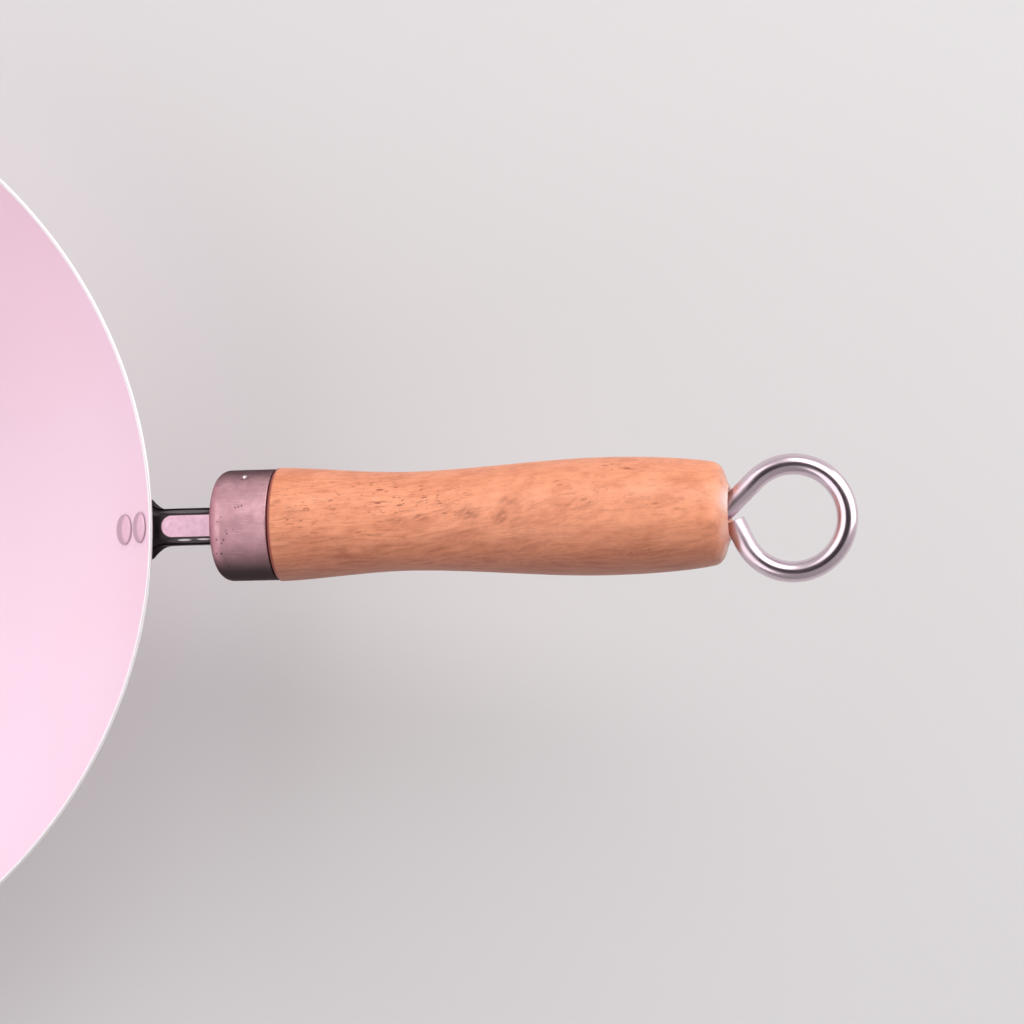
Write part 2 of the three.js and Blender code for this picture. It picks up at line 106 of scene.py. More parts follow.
def turned(name, profile, steps):
    """A piece turned round the Z axis, from a profile of (radius, height) points."""
    bpy.ops.object.select_all(action="DESELECT")
    bpy.ops.mesh.primitive_plane_add(size=MM)
    piece = bpy.context.object
    piece.name = piece.data.name = name
    bpy.ops.object.mode_set(mode="EDIT")
    bpy.ops.mesh.select_mode(type="VERT")
    bpy.ops.mesh.select_all(action="SELECT")
    bpy.ops.mesh.merge(type="CENTER")
    bpy.ops.transform.translate(value=(profile[0][0], 0, profile[0][1]))
    for here, there in zip(profile, profile[1:]):
        step = (there[0] - here[0], 0, there[1] - here[1])
        bpy.ops.mesh.extrude_vertices_move(TRANSFORM_OT_translate={"value": step})
    bpy.ops.mesh.select_all(action="SELECT")
    bpy.ops.mesh.spin(steps=steps, angle=2 * math.pi, center=(0, 0, 0), axis=(0, 0, 1))
    bpy.ops.mesh.select_all(action="SELECT")
    bpy.ops.mesh.remove_doubles(threshold=MM / 1000)
    bpy.ops.mesh.normals_make_consistent(inside=False)
    bpy.ops.object.mode_set(mode="OBJECT")
    return piece


def smooth(piece, degrees=CREASE):
    """Shades a piece smooth, apart from edges that bend by more than this."""
    bpy.ops.object.select_all(action="DESELECT")
    piece.select_set(True)
    bpy.context.view_layer.objects.active = piece
    bpy.ops.object.shade_smooth_by_angle(angle=math.radians(degrees))


outer = bowl_face(0)
inner = bowl_face(-SHEET)[::-1]
lip_centre = ((outer[-1][0] + inner[0][0]) / 2, (outer[-1][1] + inner[0][1]) / 2)
lip_start = RIM_SLOPE - math.pi / 2
lip = arc(lip_centre, SHEET / 2, lip_start, lip_start + math.pi, LIP_STEPS)
bowl = turned("bowl", [(0, 0)] + outer + lip[1:-1] + inner + [(0, SHEET)], BOWL_STEPS)
smooth(bowl)


class Shade:
    """A node socket of a material. Sums of sockets and numbers add Math nodes."""

    def __init__(self, socket):
        self.socket = socket

    def node(self, kind, settings, sockets, output=0):
        added = self.socket.id_data.nodes.new("ShaderNode" + kind)
        for name, value in settings.items():
            setattr(added, name, value)
        for name, value in sockets.items():
            if isinstance(value, Shade):
                self.socket.id_data.links.new(value.socket, added.inputs[name])
            else:
                added.inputs[name].default_value = value
        return Shade(added.outputs[output])

    def math(self, operation, first, second):
        return self.node("Math", {"operation": operation}, {0: first, 1: second})

    def __add__(self, other):
        return self.math("ADD", self, other)

    def __sub__(self, other):
        return self.math("SUBTRACT", self, other)

    def __rsub__(self, other):
        return self.math("SUBTRACT", other, self)

    def __mul__(self, other):
        return self.math("MULTIPLY", self, other)

    def __truediv__(self, other):
        return self.math("DIVIDE", self, other)

    def __pow__(self, other):
        return self.math("POWER", self, other)

    __radd__ = __add__
    __rmul__ = __mul__

    def most(self, other):
        return self.math("MAXIMUM", self, other)

    def least(self, other):
        return self.math("MINIMUM", self, other)

    def size(self):
        """The value without its sign."""
        return self.math("ABSOLUTE", self, 0)

    def rise(self, low, high):
        """Goes smoothly from 0 to 1 as the value goes from low to high."""
        settings = {"interpolation_type": "SMOOTHSTEP"}
        return self.node("MapRange", settings, {"Value": self, "From Min": low, "From Max": high})

    def noise(self, scale, detail=2.0, roughness=0.5):
        sockets = {"Vector": self, "Scale": scale, "Detail": detail, "Roughness": roughness}
        return self.node("TexNoise", {}, sockets)

    def turn(self, location=(0, 0, 0), rotation=(0, 0, 0), scale=(1, 1, 1), kind="POINT"):
        sockets = {"Vector": self, "Location": location, "Rotation": rotation, "Scale": scale}
        return self.node("Mapping", {"vector_type": kind}, sockets)

    def axis(self, name):
        return self.node("SeparateXYZ", {}, {"Vector": self}, name)

    def blend(self, first, second):
        """A colour that goes from the first to the second as this value goes from 0 to 1."""
        colours = [c if isinstance(c, Shade) else (*c, 1) for c in (first, second)]
        sockets = {0: self, 6: colours[0], 7: colours[1]}
        return self.node("Mix", {"data_type": "RGBA"}, sockets, 2)

    def bump(self, strength, distance):
        return self.node("Bump", {}, {"Height": self, "Strength": strength, "Distance": distance})


def finish(name, constants):
    """A new material with its constant values set, its shader, and the piece's own coordinates."""
    material = bpy.data.materials.new(name)
    material.use_nodes = True
    nodes = material.node_tree.nodes
    for socket, value in constants.items():
        nodes["Principled BSDF"].inputs[socket].default_value = value
    place = Shade(nodes.new("ShaderNodeTexCoord").outputs["Object"])
    return material, nodes["Principled BSDF"], place


def feed(shader, sockets):
    """Links values that vary over a surface to a shader's sockets."""
    for name, value in sockets.items():
        shader.id_data.links.new(value.socket, shader.inputs[name])


PINK_WARM = (0.95, 0.74, 0.825)
PINK_COOL = (0.945, 0.755, 0.865)
LIP_BRIGHT = (0.99, 0.97, 0.98)
LIP_WORN = (0.90, 0.87, 0.89)
LIP_REACH = SHEET * 0.55  # of the bare metal, from the middle of the lip

coat, shader, place = finish("pink_ceramic_coat", {"Coat Weight": 0.15, "Coat Roughness": 0.3})
drift = place.noise(14, 2)
grain = place.noise(1400, 2)
feed(shader, {
    "Base Color": drift.rise(0.35, 0.65).blend(PINK_WARM, PINK_COOL),
    "Roughness": 0.36 + place.noise(60, 3) * 0.12,
    "Normal": grain.bump(0.12, 0.1 * MM),
})

lip_steel, shader, place = finish("bare_lip_steel", {"Metallic": 0.7})
worn = place.noise(300, 3)
feed(shader, {
    "Base Color": worn.blend(LIP_BRIGHT, LIP_WORN),
    "Roughness": 0.34 + worn * 0.2,
})

bowl.data.materials.append(coat)
bowl.data.materials.append(lip_steel)
for face in bowl.data.polygons:
    off_centre = math.hypot(math.hypot(face.center.x, face.center.y) - lip_centre[0],
                            face.center.z - lip_centre[1])
    face.material_index = int(off_centre < LIP_REACH)
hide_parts("wok_bowl")
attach(bowl, "pan")


# Rivets: two solid steel rivets in line with the handle, with low domed heads inside the bowl.
# They are driven through the wall and the bracket's pad, and their tails are upset in its pocket.

SEAT_GAP = 0.3 * MM
RIVET_SHANK_RADIUS = 2.5 * MM
RIVET_HEAD_RADIUS = 4.45 * MM
RIVET_HEAD_HEIGHT = 1.1 * MM
RIVET_HEAD_EDGE = 0.2 * MM
RIVET_TAIL_RADIUS = 3.2 * MM
RIVET_TAIL_HEIGHT = 1.8 * MM
RIVET_PLACES = {"rivet_upper": 7 * MM, "rivet_lower": 18.4 * MM}  # below the rim, along the wall
PAD_THICKNESS = 3 * MM
RIVET_STEPS = 96
RIVET_HEAD_STEPS = 16
RIVET_TAIL_STEPS = 12


def on_wall(below_rim):
    """A frame on the wall's outer face, with Z outwards along the wall's normal."""
    lean = RIM_SLOPE - below_rim / WALL_RADIUS
    x = WALL_CENTRE[0] + WALL_RADIUS * math.sin(lean)
    z = WALL_CENTRE[1] - WALL_RADIUS * math.cos(lean)
    return Matrix.Translation((x, 0, z)) @ Matrix.Rotation(math.pi - lean, 4, "Y")


def settle(piece, matrix):
    """Moves a piece's mesh to its place and leaves its object at the origin."""
    bpy.ops.object.select_all(action="DESELECT")
    piece.select_set(True)
    bpy.context.view_layer.objects.active = piece
    piece.matrix_world = matrix
    bpy.ops.object.transform_apply(location=True, rotation=True, scale=True)


def dome(radius, height, edge, steps):
    """The section of a domed head, from the top of the dome to its edge."""
    angles = [math.pi / 2 * step / steps for step in range(steps + 1)]
    return [(radius * math.sin(a), edge + (height - edge) * math.cos(a)) for a in angles]


hollow_below_head = RIVET_HEAD_RADIUS ** 2 / (2 * WALL_RADIUS)
head_seat = -SHEET - SEAT_GAP - hollow_below_head
tail_seat = PAD_THICKNESS + 2 * SEAT_GAP
head = dome(RIVET_HEAD_RADIUS, RIVET_HEAD_HEIGHT, RIVET_HEAD_EDGE, RIVET_HEAD_STEPS)
tail = dome(RIVET_TAIL_RADIUS, RIVET_TAIL_HEIGHT, RIVET_TAIL_HEIGHT / 2, RIVET_TAIL_STEPS)[::-1]
rivet_profile = [(r, head_seat - h) for r, h in head]
rivet_profile += [(RIVET_HEAD_RADIUS, head_seat), (RIVET_SHANK_RADIUS, head_seat)]
rivet_profile += [(RIVET_SHANK_RADIUS, tail_seat), (RIVET_TAIL_RADIUS, tail_seat)]
rivet_profile += [(r, tail_seat + h) for r, h in tail]

# the darker colour on the lower side of each head is painted shade
RIVET_CLEAN = (0.91, 0.65, 0.755)
RIVET_TARNISHED = (0.83, 0.59, 0.69)
RIVET_PAINTED_SHADE = (0.60, 0.445, 0.515)
UNSHADED_CURVE = 60  # per metre: the part of a head without painted shade narrows towards its sides

rivet_steel, shader, place = finish("satin_rivet_steel", {
    "Metallic": 0.2, "Specular IOR Level": 0.15, "Specular Tint": (0.5, 0.42, 0.46, 1),
})
tarnish = place.noise(420, 4)
upper, lower = (on_wall(below_rim).translation.z for below_rim in RIVET_PLACES.values())
pitch = upper - lower
sideways = place.axis("Y")
down = place.math("FLOORED_MODULO", upper + pitch / 2 - place.axis("Z"), pitch) - pitch / 2
# painted shade: darker towards the lower side of each head
rivet_painted_shade = (down + sideways * sideways * UNSHADED_CURVE).rise(-2.3 * MM, -0.5 * MM)
unshaded = tarnish.blend(RIVET_CLEAN, RIVET_TARNISHED)
feed(shader, {
    "Base Color": rivet_painted_shade.blend(unshaded, RIVET_PAINTED_SHADE),
    "Roughness": 0.38 + tarnish * 0.12,
    "Normal": place.noise(2600, 2).bump(0.1, 0.05 * MM),
})

first_rivet = turned("rivet", rivet_profile, RIVET_STEPS)
smooth(first_rivet)
first_rivet.data.materials.append(rivet_steel)
for node, below_rim in RIVET_PLACES.items():
    rivet = first_rivet.copy()
    rivet.data = first_rivet.data.copy()
    rivet.name = rivet.data.name = node + "_turned"
    bpy.context.collection.objects.link(rivet)
    settle(rivet, on_wall(below_rim))
    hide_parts(node)
    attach(rivet, "pan")
bpy.data.objects.remove(first_rivet)


# Bracket: a steel casting that joins the bowl and the grip, polished bright on its flat top.
# It flares to a pad on the wall and is hollow below for the rivets' tails. Its tapped tail lies in the grip.

bolt_joint = frame["joints"][0]
handle_axis = Vector(bolt_joint["axis"])
HANDLE_TILT = math.atan2(handle_axis.z, handle_axis.x)
HANDLE = Matrix.Translation(bolt_joint["pos_m"]) @ Matrix.Rotation(-HANDLE_TILT, 4, "Y")
NECK_LENGTH = 21 * MM
NECK_WIDTH = 10.6 * MM
NECK_HEIGHT = 10.4 * MM
NECK_CORNER = 2.6 * MM
PAD_WIDTH = 17.6 * MM
PAD_RISE = 1.9 * MM
PAD_DEPTH = 15.1 * MM  # below the handle's axis
PAD_AT = -7.6 * MM  # from here inwards the bracket has its full depth
FLARE_INSIDE = 1.6 * MM
FLARE_LENGTH = 5.2 * MM
GUSSET_LENGTH = 10.6 * MM
BRACKET_WALL = 1.9 * MM
POCKET_REACH = 10.5 * MM
TAIL_RADIUS = 4.5 * MM
TAIL_END = NECK_LENGTH + 20 * MM
THREAD_RADIUS = 3.3 * MM
THREAD_DEPTH = 18 * MM
TAIL_CHAMFER = 0.6 * MM
TAIL_STEPS = 64
POCKET_CORNER = 0.2  # share of its width
POCKET_STEPS = 16
FLARE_STEPS = 48
EDGE_STEPS = 10
BRACKET_CREASE = 32  # degrees


def ease(value, low, high):
    """Goes smoothly from 0 to 1 as the value goes from low to high."""
    share = min(max((value - low) / (high - low), 0), 1)
    return share * share * (3 - 2 * share)


def bracket_section(along):
    """Half-width, top and bottom of the bracket at a place along the handle."""
    splay = min(max((FLARE_LENGTH - along) / (FLARE_LENGTH + FLARE_INSIDE), 0), 1) ** 2
    deepen = 1 - ease(along, PAD_AT, GUSSET_LENGTH)
    half = (NECK_WIDTH + (PAD_WIDTH - NECK_WIDTH) * splay) / 2
    top = NECK_HEIGHT / 2 + PAD_RISE * splay
    bottom = -NECK_HEIGHT / 2 - (PAD_DEPTH - NECK_HEIGHT / 2) * deepen
    return half, top, bottom


def pocket_section(along):
    """The hollow below the neck, one wall inside the bracket's own section."""
    half, top, _ = bracket_section(along)
    return half - BRACKET_WALL, top - BRACKET_WALL, -2 * PAD_DEPTH


def select(piece, parts, wanted):
    """In edit mode, selects those verts, edges or faces for which `wanted` is true."""
    bpy.ops.mesh.select_mode(type={"verts": "VERT", "edges": "EDGE", "faces": "FACE"}[parts])
    bpy.ops.mesh.select_all(action="DESELECT")
    shape = bmesh.from_edit_mesh(piece.data)
    for part in getattr(shape, parts):
        if wanted(part):
            part.select_set(True)
    bmesh.update_edit_mesh(piece.data)


def bar(name, stations, section, corner_share):
    """A bar along X with rounded edges, whose section changes from station to station."""
    bpy.ops.object.select_all(action="DESELECT")
    bpy.ops.mesh.primitive_plane_add(size=2, rotation=(0, math.pi / 2, 0))
    piece = bpy.context.object
    piece.name = piece.data.name = name
    bpy.ops.object.transform_apply(location=True, rotation=True, scale=True)
    bpy.ops.object.mode_set(mode="EDIT")
    bpy.ops.mesh.select_mode(type="FACE")
    bpy.ops.mesh.select_all(action="SELECT")
    size = (1, 1, -1)
    here = 0
    for count, along in enumerate(stations):
        if count:
            bpy.ops.mesh.extrude_region_move(TRANSFORM_OT_translate={"value": (along - here, 0, 0)})
        else:
            bpy.ops.transform.translate(value=(along, 0, 0))
        half, top, bottom = section(along)
        taller = (top - bottom) / (size[1] - size[2])
        bpy.ops.transform.resize(value=(1, half / size[0], taller), center_override=(along, 0, 0))
        bpy.ops.transform.translate(value=(0, 0, top - size[1] * taller))
        size, here = (half, top, bottom), along
    bpy.ops.mesh.select_all(action="SELECT")
    bpy.ops.mesh.normals_make_consistent(inside=False)
    select(piece, "edges", lambda edge: abs(edge.verts[0].co.x - edge.verts[1].co.x) > MM / 10)
    bpy.ops.mesh.bevel(
        offset_type="PERCENT", offset_pct=100 * corner_share, segments=EDGE_STEPS, affect="EDGES"
    )
    bpy.ops.object.mode_set(mode="OBJECT")
    return piece


def join(piece, tool, operation):
    """Cuts a tool's shape out of a piece, or adds it, and deletes the tool."""
    step = piece.modifiers.new(operation.lower(), "BOOLEAN")
    step.object, step.operation, step.solver = tool, operation, "EXACT"
    bpy.ops.object.select_all(action="DESELECT")
    piece.select_set(True)
    bpy.context.view_layer.objects.active = piece
    bpy.ops.object.modifier_apply(modifier=step.name)
    bpy.data.objects.remove(tool)


def stretch(start, end, count):
    """Evenly spaced places from start to end."""
    return [start + (end - start) * step / count for step in range(count + 1)]


def bowl_filled(outwards):
    """Everything inside the bowl's outer face, grown by a distance."""
    face = bowl_face(outwards)
    top = face[-1][1] + PAD_WIDTH
    return turned("bowl_filled", [(0, -outwards)] + face + [(face[-1][0], top), (0, top)], BOWL_STEPS)


inside = PAD_AT - PAD_WIDTH
flare = [inside] + stretch(PAD_AT, GUSSET_LENGTH, FLARE_STEPS) + [NECK_LENGTH - SEAT_GAP]
bracket = bar("bracket", flare, bracket_section, NECK_CORNER / NECK_WIDTH)
settle(bracket, HANDLE)
pocket = bar("pocket", [inside] + stretch(PAD_AT, POCKET_REACH, POCKET_STEPS), pocket_section, POCKET_CORNER)
settle(pocket, HANDLE)
join(pocket, bowl_filled(SEAT_GAP + PAD_THICKNESS), "DIFFERENCE")
join(bracket, bowl_filled(SEAT_GAP), "DIFFERENCE")
join(bracket, pocket, "DIFFERENCE")
tail = turned("tail", [
    (0, NECK_LENGTH - NECK_CORNER), (TAIL_RADIUS, NECK_LENGTH - NECK_CORNER),
    (TAIL_RADIUS, TAIL_END - TAIL_CHAMFER), (TAIL_RADIUS - TAIL_CHAMFER, TAIL_END),
    (THREAD_RADIUS, TAIL_END), (THREAD_RADIUS, TAIL_END - THREAD_DEPTH), (0, TAIL_END - THREAD_DEPTH),
], TAIL_STEPS)
ALONG_HANDLE = HANDLE @ Matrix.Rotation(math.pi / 2, 4, "Y")  # lays a turned piece along the handle
settle(tail, ALONG_HANDLE)
join(bracket, tail, "UNION")
smooth(bracket, BRACKET_CREASE)

FLAT_START = 4.7 * MM
FLAT_WIDTH = 6.4 * MM
FLAT_PALE = (0.755, 0.495, 0.60)
FLAT_GREY = (0.63, 0.40, 0.495)
CAST_DARK = (0.026, 0.020, 0.022)
CAST_GREY = (0.055, 0.043, 0.046)
# worn edges of the neck, painted nearly white and less metallic as painted highlights
EDGE_WEAR_HIGHLIGHT = (0.95, 0.88, 0.91)
EDGE_WEAR_HIGHLIGHT_SPOTS = [  # along and across in millimetres, half-length, half-width, strength
    (11.6, -4.05, 2.1, 0.28, 0.95), (17.3, -3.95, 2.0, 0.26, 0.9), (12.5, 4.2, 8.0, 0.5, 0.15),
    (14.0, -4.2, 8.0, 0.7, 0.12),
]


def spots(vector, places, core):
    """Oval areas seen from above the handle: each one's strength in its core, 0 outside."""
    area = vector.axis("X") * 0
    for along, aside, long, wide, strength in places:
        spot = vector.turn((along * MM, aside * MM, 0), scale=(long * MM, wide * MM, 1), kind="TEXTURE")
        off = spot.node("VectorMath", {"operation": "LENGTH"}, {0: spot}, "Value")
        area = area.most((1 - off.rise(core, 1.2)) * strength)
    return area


cast_steel, shader, place = finish("burnished_casting", {"Specular Tint": (0.25, 0.22, 0.23, 1)})
on_handle = place.turn(HANDLE.translation, HANDLE.to_euler(), kind="TEXTURE")
across = on_handle.axis("Y")
before_flat = (on_handle.axis("X") - FLAT_START - FLAT_WIDTH / 2).least(0)
off_flat = (before_flat * before_flat + across * across) ** 0.5
on_top = on_handle.axis("Z").rise(4.2 * MM, 4.8 * MM)
flat = (1 - off_flat.rise(FLAT_WIDTH * 0.46, FLAT_WIDTH * 0.51)) * on_top
# worn edges with painted highlights, on the upper half of the neck
edge_wear_highlight = spots(on_handle, EDGE_WEAR_HIGHLIGHT_SPOTS, 0.7) * on_handle.axis("Z").rise(0, 2 * MM)
skin = place.noise(500, 4)
steel = flat.blend(skin.blend(CAST_DARK, CAST_GREY), skin.blend(FLAT_PALE, FLAT_GREY))
feed(shader, {
    "Base Color": edge_wear_highlight.blend(steel, EDGE_WEAR_HIGHLIGHT),
    "Metallic": 1 - edge_wear_highlight * 0.75,
    "Roughness": 0.28 + skin * 0.14 - flat * 0.12,
    "Normal": place.noise(180, 2).bump(0.12, 0.4 * MM),
})
bracket.data.materials.clear()
bracket.data.materials.append(cast_steel)
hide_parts("handle_bracket")
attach(bracket, "pan")


# Ferrule: a cup drawn from thin steel sheet, which keeps the front end of the wood from splitting.
# It is pushed over the wood's spigot and staked there by one punched dimple.

FERRULE_RADIUS = 16.1 * MM
FERRULE_LENGTH = 17.5 * MM
FERRULE_WALL = 1 * MM
FERRULE_CORNER = 4.2 * MM
FERRULE_EDGE = 0.25 * MM
FERRULE_REAR = NECK_LENGTH + FERRULE_LENGTH
SOCKET_RADIUS = TAIL_RADIUS + SEAT_GAP
DIMPLE_FROM_REAR = 7.8 * MM
DIMPLE_TURN = math.radians(56)  # from the top towards +Y
DIMPLE_DEPTH = 0.85 * MM
DIMPLE_REACH = 1.7 * MM
FERRULE_STEPS = 400


def distance(vector, point):
    """How far a place lies from a point."""
    return vector.node("VectorMath", {"operation": "DISTANCE"}, {0: vector, 1: point}, "Value")


corner = (FERRULE_RADIUS - FERRULE_CORNER, NECK_LENGTH + FERRULE_CORNER)
barrel = stretch(corner[1], FERRULE_REAR - FERRULE_EDGE, 54)
edge = (FERRULE_RADIUS - FERRULE_EDGE, FERRULE_REAR - FERRULE_EDGE)
ferrule_profile = [(SOCKET_RADIUS, NECK_LENGTH)]
ferrule_profile += arc(corner, FERRULE_CORNER, -math.pi / 2, 0, 16)
ferrule_profile += [(FERRULE_RADIUS, along) for along in barrel[1:]]
ferrule_profile += arc(edge, FERRULE_EDGE, 0, math.pi / 2, 5)[1:]
ferrule_profile += [(FERRULE_RADIUS - FERRULE_WALL, FERRULE_REAR)]
ferrule_profile += arc(corner, FERRULE_CORNER - FERRULE_WALL, 0, -math.pi / 2, 8)
ferrule_profile += [(SOCKET_RADIUS, NECK_LENGTH + FERRULE_WALL), (SOCKET_RADIUS, NECK_LENGTH)]
ferrule = turned("ferrule_cup", ferrule_profile, FERRULE_STEPS)
settle(ferrule, ALONG_HANDLE)

punch = HANDLE.to_3x3() @ Vector((0, math.sin(DIMPLE_TURN), math.cos(DIMPLE_TURN)))
dimple = HANDLE @ Vector((FERRULE_REAR - DIMPLE_FROM_REAR, 0, 0)) + punch * FERRULE_RADIUS
nearest = min((vertex.co - dimple).length for vertex in ferrule.data.vertices) + MM / 1000
bpy.ops.object.mode_set(mode="EDIT")
select(ferrule, "verts", lambda vertex: (vertex.co - dimple).length < nearest)
bpy.ops.transform.translate(
    value=punch * -DIMPLE_DEPTH, use_proportional_edit=True, use_proportional_connected=True,
    proportional_edit_falloff="SMOOTH", proportional_size=DIMPLE_REACH,
)
bpy.ops.object.mode_set(mode="OBJECT")
smooth(ferrule)

# painted light and shade: the ferrule is coloured light along its top and dark on its flanks and underside
LIT_BAND_ASIDE = 1.4 * MM  # middle of the painted light band along the top
LIT_BAND_FADES = 8.75 * MM  # the band is bright as far as this from its middle
LIT_BAND_GONE = 15.6 * MM  # and dark with painted shade from here on
LIT_BAND_DEEP = (0.60, 0.34, 0.375)
LIT_BAND_PALE = (0.73, 0.435, 0.465)
MOTTLED = (0.44, 0.25, 0.275)
SCRATCHED = (0.88, 0.58, 0.61)
FLANK_PAINTED_SHADE = (0.07, 0.052, 0.053)
PIT_DARK = (0.09, 0.05, 0.055)
GLINT_PALE = (0.92, 0.87, 0.89)
GLINT_TURN = math.radians(2.6)  # the painted glint on the dimple's far slope, past its middle
PITS = [  # along the handle and across it, in millimetres, with each pit's radius
    (29.6, 4.3, 0.28), (30.5, 4.5, 0.30), (31.4, 4.8, 0.28), (23.9, -4.8, 0.34), (26.0, -4.9, 0.30),
    (25.3, -5.8, 0.26), (24.9, -8.7, 0.36), (23.4, -8.6, 0.24), (24.4, 0.3, 0.26), (27.1, -3.1, 0.3),
    (26.9, -2.2, 0.22), (26.4, -12.2, 0.3), (25.4, 1.6, 0.2), (29.0, -2.0, 0.2),
]
drawn_steel, shader, place = finish(
    "satin_drawn_steel", {"Metallic": 0.85, "Specular Tint": (0.45, 0.40, 0.41, 1)}
)
on_handle = place.turn(HANDLE.translation, HANDLE.to_euler(), kind="TEXTURE")
seen_from_top = on_handle.turn(scale=(1, 1, 0))
pits = on_handle.axis("Z") * 0
for along, aside, radius in PITS:
    off = distance(seen_from_top, (along * MM, aside * MM, 0))
    pits = pits.most(1 - off.rise(radius * MM * 0.4, radius * MM * 1.3))
pits = pits * on_handle.axis("Z").rise(0, 2 * MM)
# painted highlight: a small pale glint on the dimple's far slope
far_slope = Vector((0, math.sin(DIMPLE_TURN + GLINT_TURN), math.cos(DIMPLE_TURN + GLINT_TURN)))
glint_spot = HANDLE @ (Vector((FERRULE_REAR - DIMPLE_FROM_REAR, 0, 0)) + far_slope * FERRULE_RADIUS)
punched = 1 - distance(place, dimple).rise(DIMPLE_REACH * 0.4, DIMPLE_REACH)
glint = 1 - distance(place, glint_spot).rise(0.35 * MM, 0.8 * MM)
mottle = on_handle.noise(330, 5, 0.65)
cloud = on_handle.noise(90, 3)
# painted light band along the top, painted shade outside it
off_band = (on_handle.axis("Y") - LIT_BAND_ASIDE).size()
painted_lit_band = (1 - off_band.rise(LIT_BAND_FADES, LIT_BAND_GONE)) * on_handle.axis("Z").rise(0, 4 * MM)
bright = cloud.rise(0.35, 0.7).blend(LIT_BAND_DEEP, LIT_BAND_PALE)
bright = (mottle.rise(0.35, 0.7) * 0.5).blend(bright, MOTTLED)
scratches = on_handle.turn(scale=(9, 1, 1), kind="TEXTURE").noise(1500, 3).rise(0.56, 0.68)
bright = (scratches * 0.3).blend(bright, SCRATCHED)
steel = painted_lit_band.blend(FLANK_PAINTED_SHADE, bright)
steel = (pits * 0.8).blend(steel, PIT_DARK)
feed(shader, {
    "Base Color": glint.blend(steel, GLINT_PALE),
    "Roughness": (0.36 + mottle * 0.14) * (1 - punched * 0.7),
    "Normal": (mottle * 0.5 + on_handle.noise(2200, 2) * 0.3 - pits * 1.5).bump(0.25, 0.12 * MM),
})
ferrule.data.materials.append(drawn_steel)
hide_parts("ferrule")
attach(ferrule, "pan")


# Grip: turned from one piece of pale reddish hardwood, with a waist for the fingers and a fuller palm end.
# Its spigot fills the ferrule, a bore takes the eye bolt, and a countersink in its end the eye's crotch.

SHOULDER_GAP = 0.4 * MM
TURN_GAP = 0.4 * MM
WIRE_RADIUS = 3 * MM
GRIP_FRONT = FERRULE_REAR + SHOULDER_GAP
GRIP_END = GRIP_FRONT + 132.6 * MM
SHOULDER_RADIUS = FERRULE_RADIUS + 0.35 * MM
SHOULDER_ROUND = 0.6 * MM
WAIST = (14.25 * MM, GRIP_FRONT + 38 * MM)
SWELL = (16.85 * MM, GRIP_FRONT + 95 * MM)
TAPER_LENGTH = 6.1 * MM
TAPER = (14.7 * MM, GRIP_END - TAPER_LENGTH)
END_DOME = 2.15 * MM
END = (8.6 * MM, GRIP_END - END_DOME)
MOUTH_RADIUS = 7.73 * MM
MOUTH_ROUND = 0.5 * MM
CROTCH_DEPTH = 6.4 * MM
COUNTERSINK_BELOW = 0.9 * MM
GRIP_STEPS = 192


def bezier(points, steps):
    """Points of a cubic curve after its first point."""
    a, b, c, d = (Vector(point) for point in points)
    shares = [step / steps for step in range(1, steps + 1)]
    return [
        tuple(a * (1 - t) ** 3 + b * 3 * t * (1 - t) ** 2 + c * 3 * t * t * (1 - t) + d * t ** 3)
        for t in shares
    ]


def third(a, b):
    """A third of the way between two points of the profile, along the handle."""
    return (b[1] - a[1]) / 3


def end_face(radius):
    """Where the grip's domed end lies along the handle at this radius."""
    return GRIP_END - END_DOME * (radius / END[0]) ** 2


spigot_front = NECK_LENGTH + FERRULE_WALL + SEAT_GAP
spigot_radius = FERRULE_RADIUS - FERRULE_WALL - SEAT_GAP
spigot_corner = FERRULE_CORNER - FERRULE_WALL
shoulder = (SHOULDER_RADIUS, GRIP_FRONT + SHOULDER_ROUND)
mouth = (MOUTH_RADIUS, end_face(MOUTH_RADIUS))
outside_mouth = (MOUTH_RADIUS + MOUTH_ROUND, end_face(MOUTH_RADIUS + MOUTH_ROUND))
bore = WIRE_RADIUS + TURN_GAP
sink = (bore, GRIP_END - CROTCH_DEPTH - COUNTERSINK_BELOW)
inside_mouth = tuple(Vector(mouth).lerp(Vector(sink), MOUTH_ROUND / math.dist(mouth, sink)))
end_run = (TAPER[0] - END[0]) / 3
end_slope = 2 * END_DOME / END[0]
inner_end = TAIL_END + SEAT_GAP
grip_profile = [(SOCKET_RADIUS, spigot_front)]
grip_profile += arc(
    (spigot_radius - spigot_corner, spigot_front + spigot_corner), spigot_corner, -math.pi / 2, 0, 6
)
grip_profile += [(spigot_radius, GRIP_FRONT)]
grip_profile += arc((SHOULDER_RADIUS - SHOULDER_ROUND, shoulder[1]), SHOULDER_ROUND, -math.pi / 2, 0, 8)
grip_profile += bezier([
    shoulder, (FERRULE_RADIUS, shoulder[1] + third(shoulder, WAIST)),
    (WAIST[0], WAIST[1] - third(shoulder, WAIST)), WAIST,
], 24)
grip_profile += bezier([
    WAIST, (WAIST[0], WAIST[1] + third(WAIST, SWELL)), (SWELL[0], SWELL[1] - third(WAIST, SWELL)), SWELL,
], 28)
grip_profile += bezier([
    SWELL, (SWELL[0], SWELL[1] + third(SWELL, TAPER) * 1.4),
    ((SWELL[0] + TAPER[0]) / 2, TAPER[1] - third(SWELL, TAPER) / 2), TAPER,
], 20)
grip_profile += bezier([
    TAPER, (TAPER[0] - end_run / 2, TAPER[1] + TAPER_LENGTH / 2),
    (END[0] + end_run, END[1] - end_run * end_slope), END,
], 24)
grip_profile += [outside_mouth] + bezier([outside_mouth, mouth, mouth, inside_mouth], 6)
grip_profile += [sink, (bore, inner_end), (SOCKET_RADIUS, inner_end), (SOCKET_RADIUS, spigot_front)]
grip = turned("grip", grip_profile, GRIP_STEPS)
settle(grip, ALONG_HANDLE)
smooth(grip)

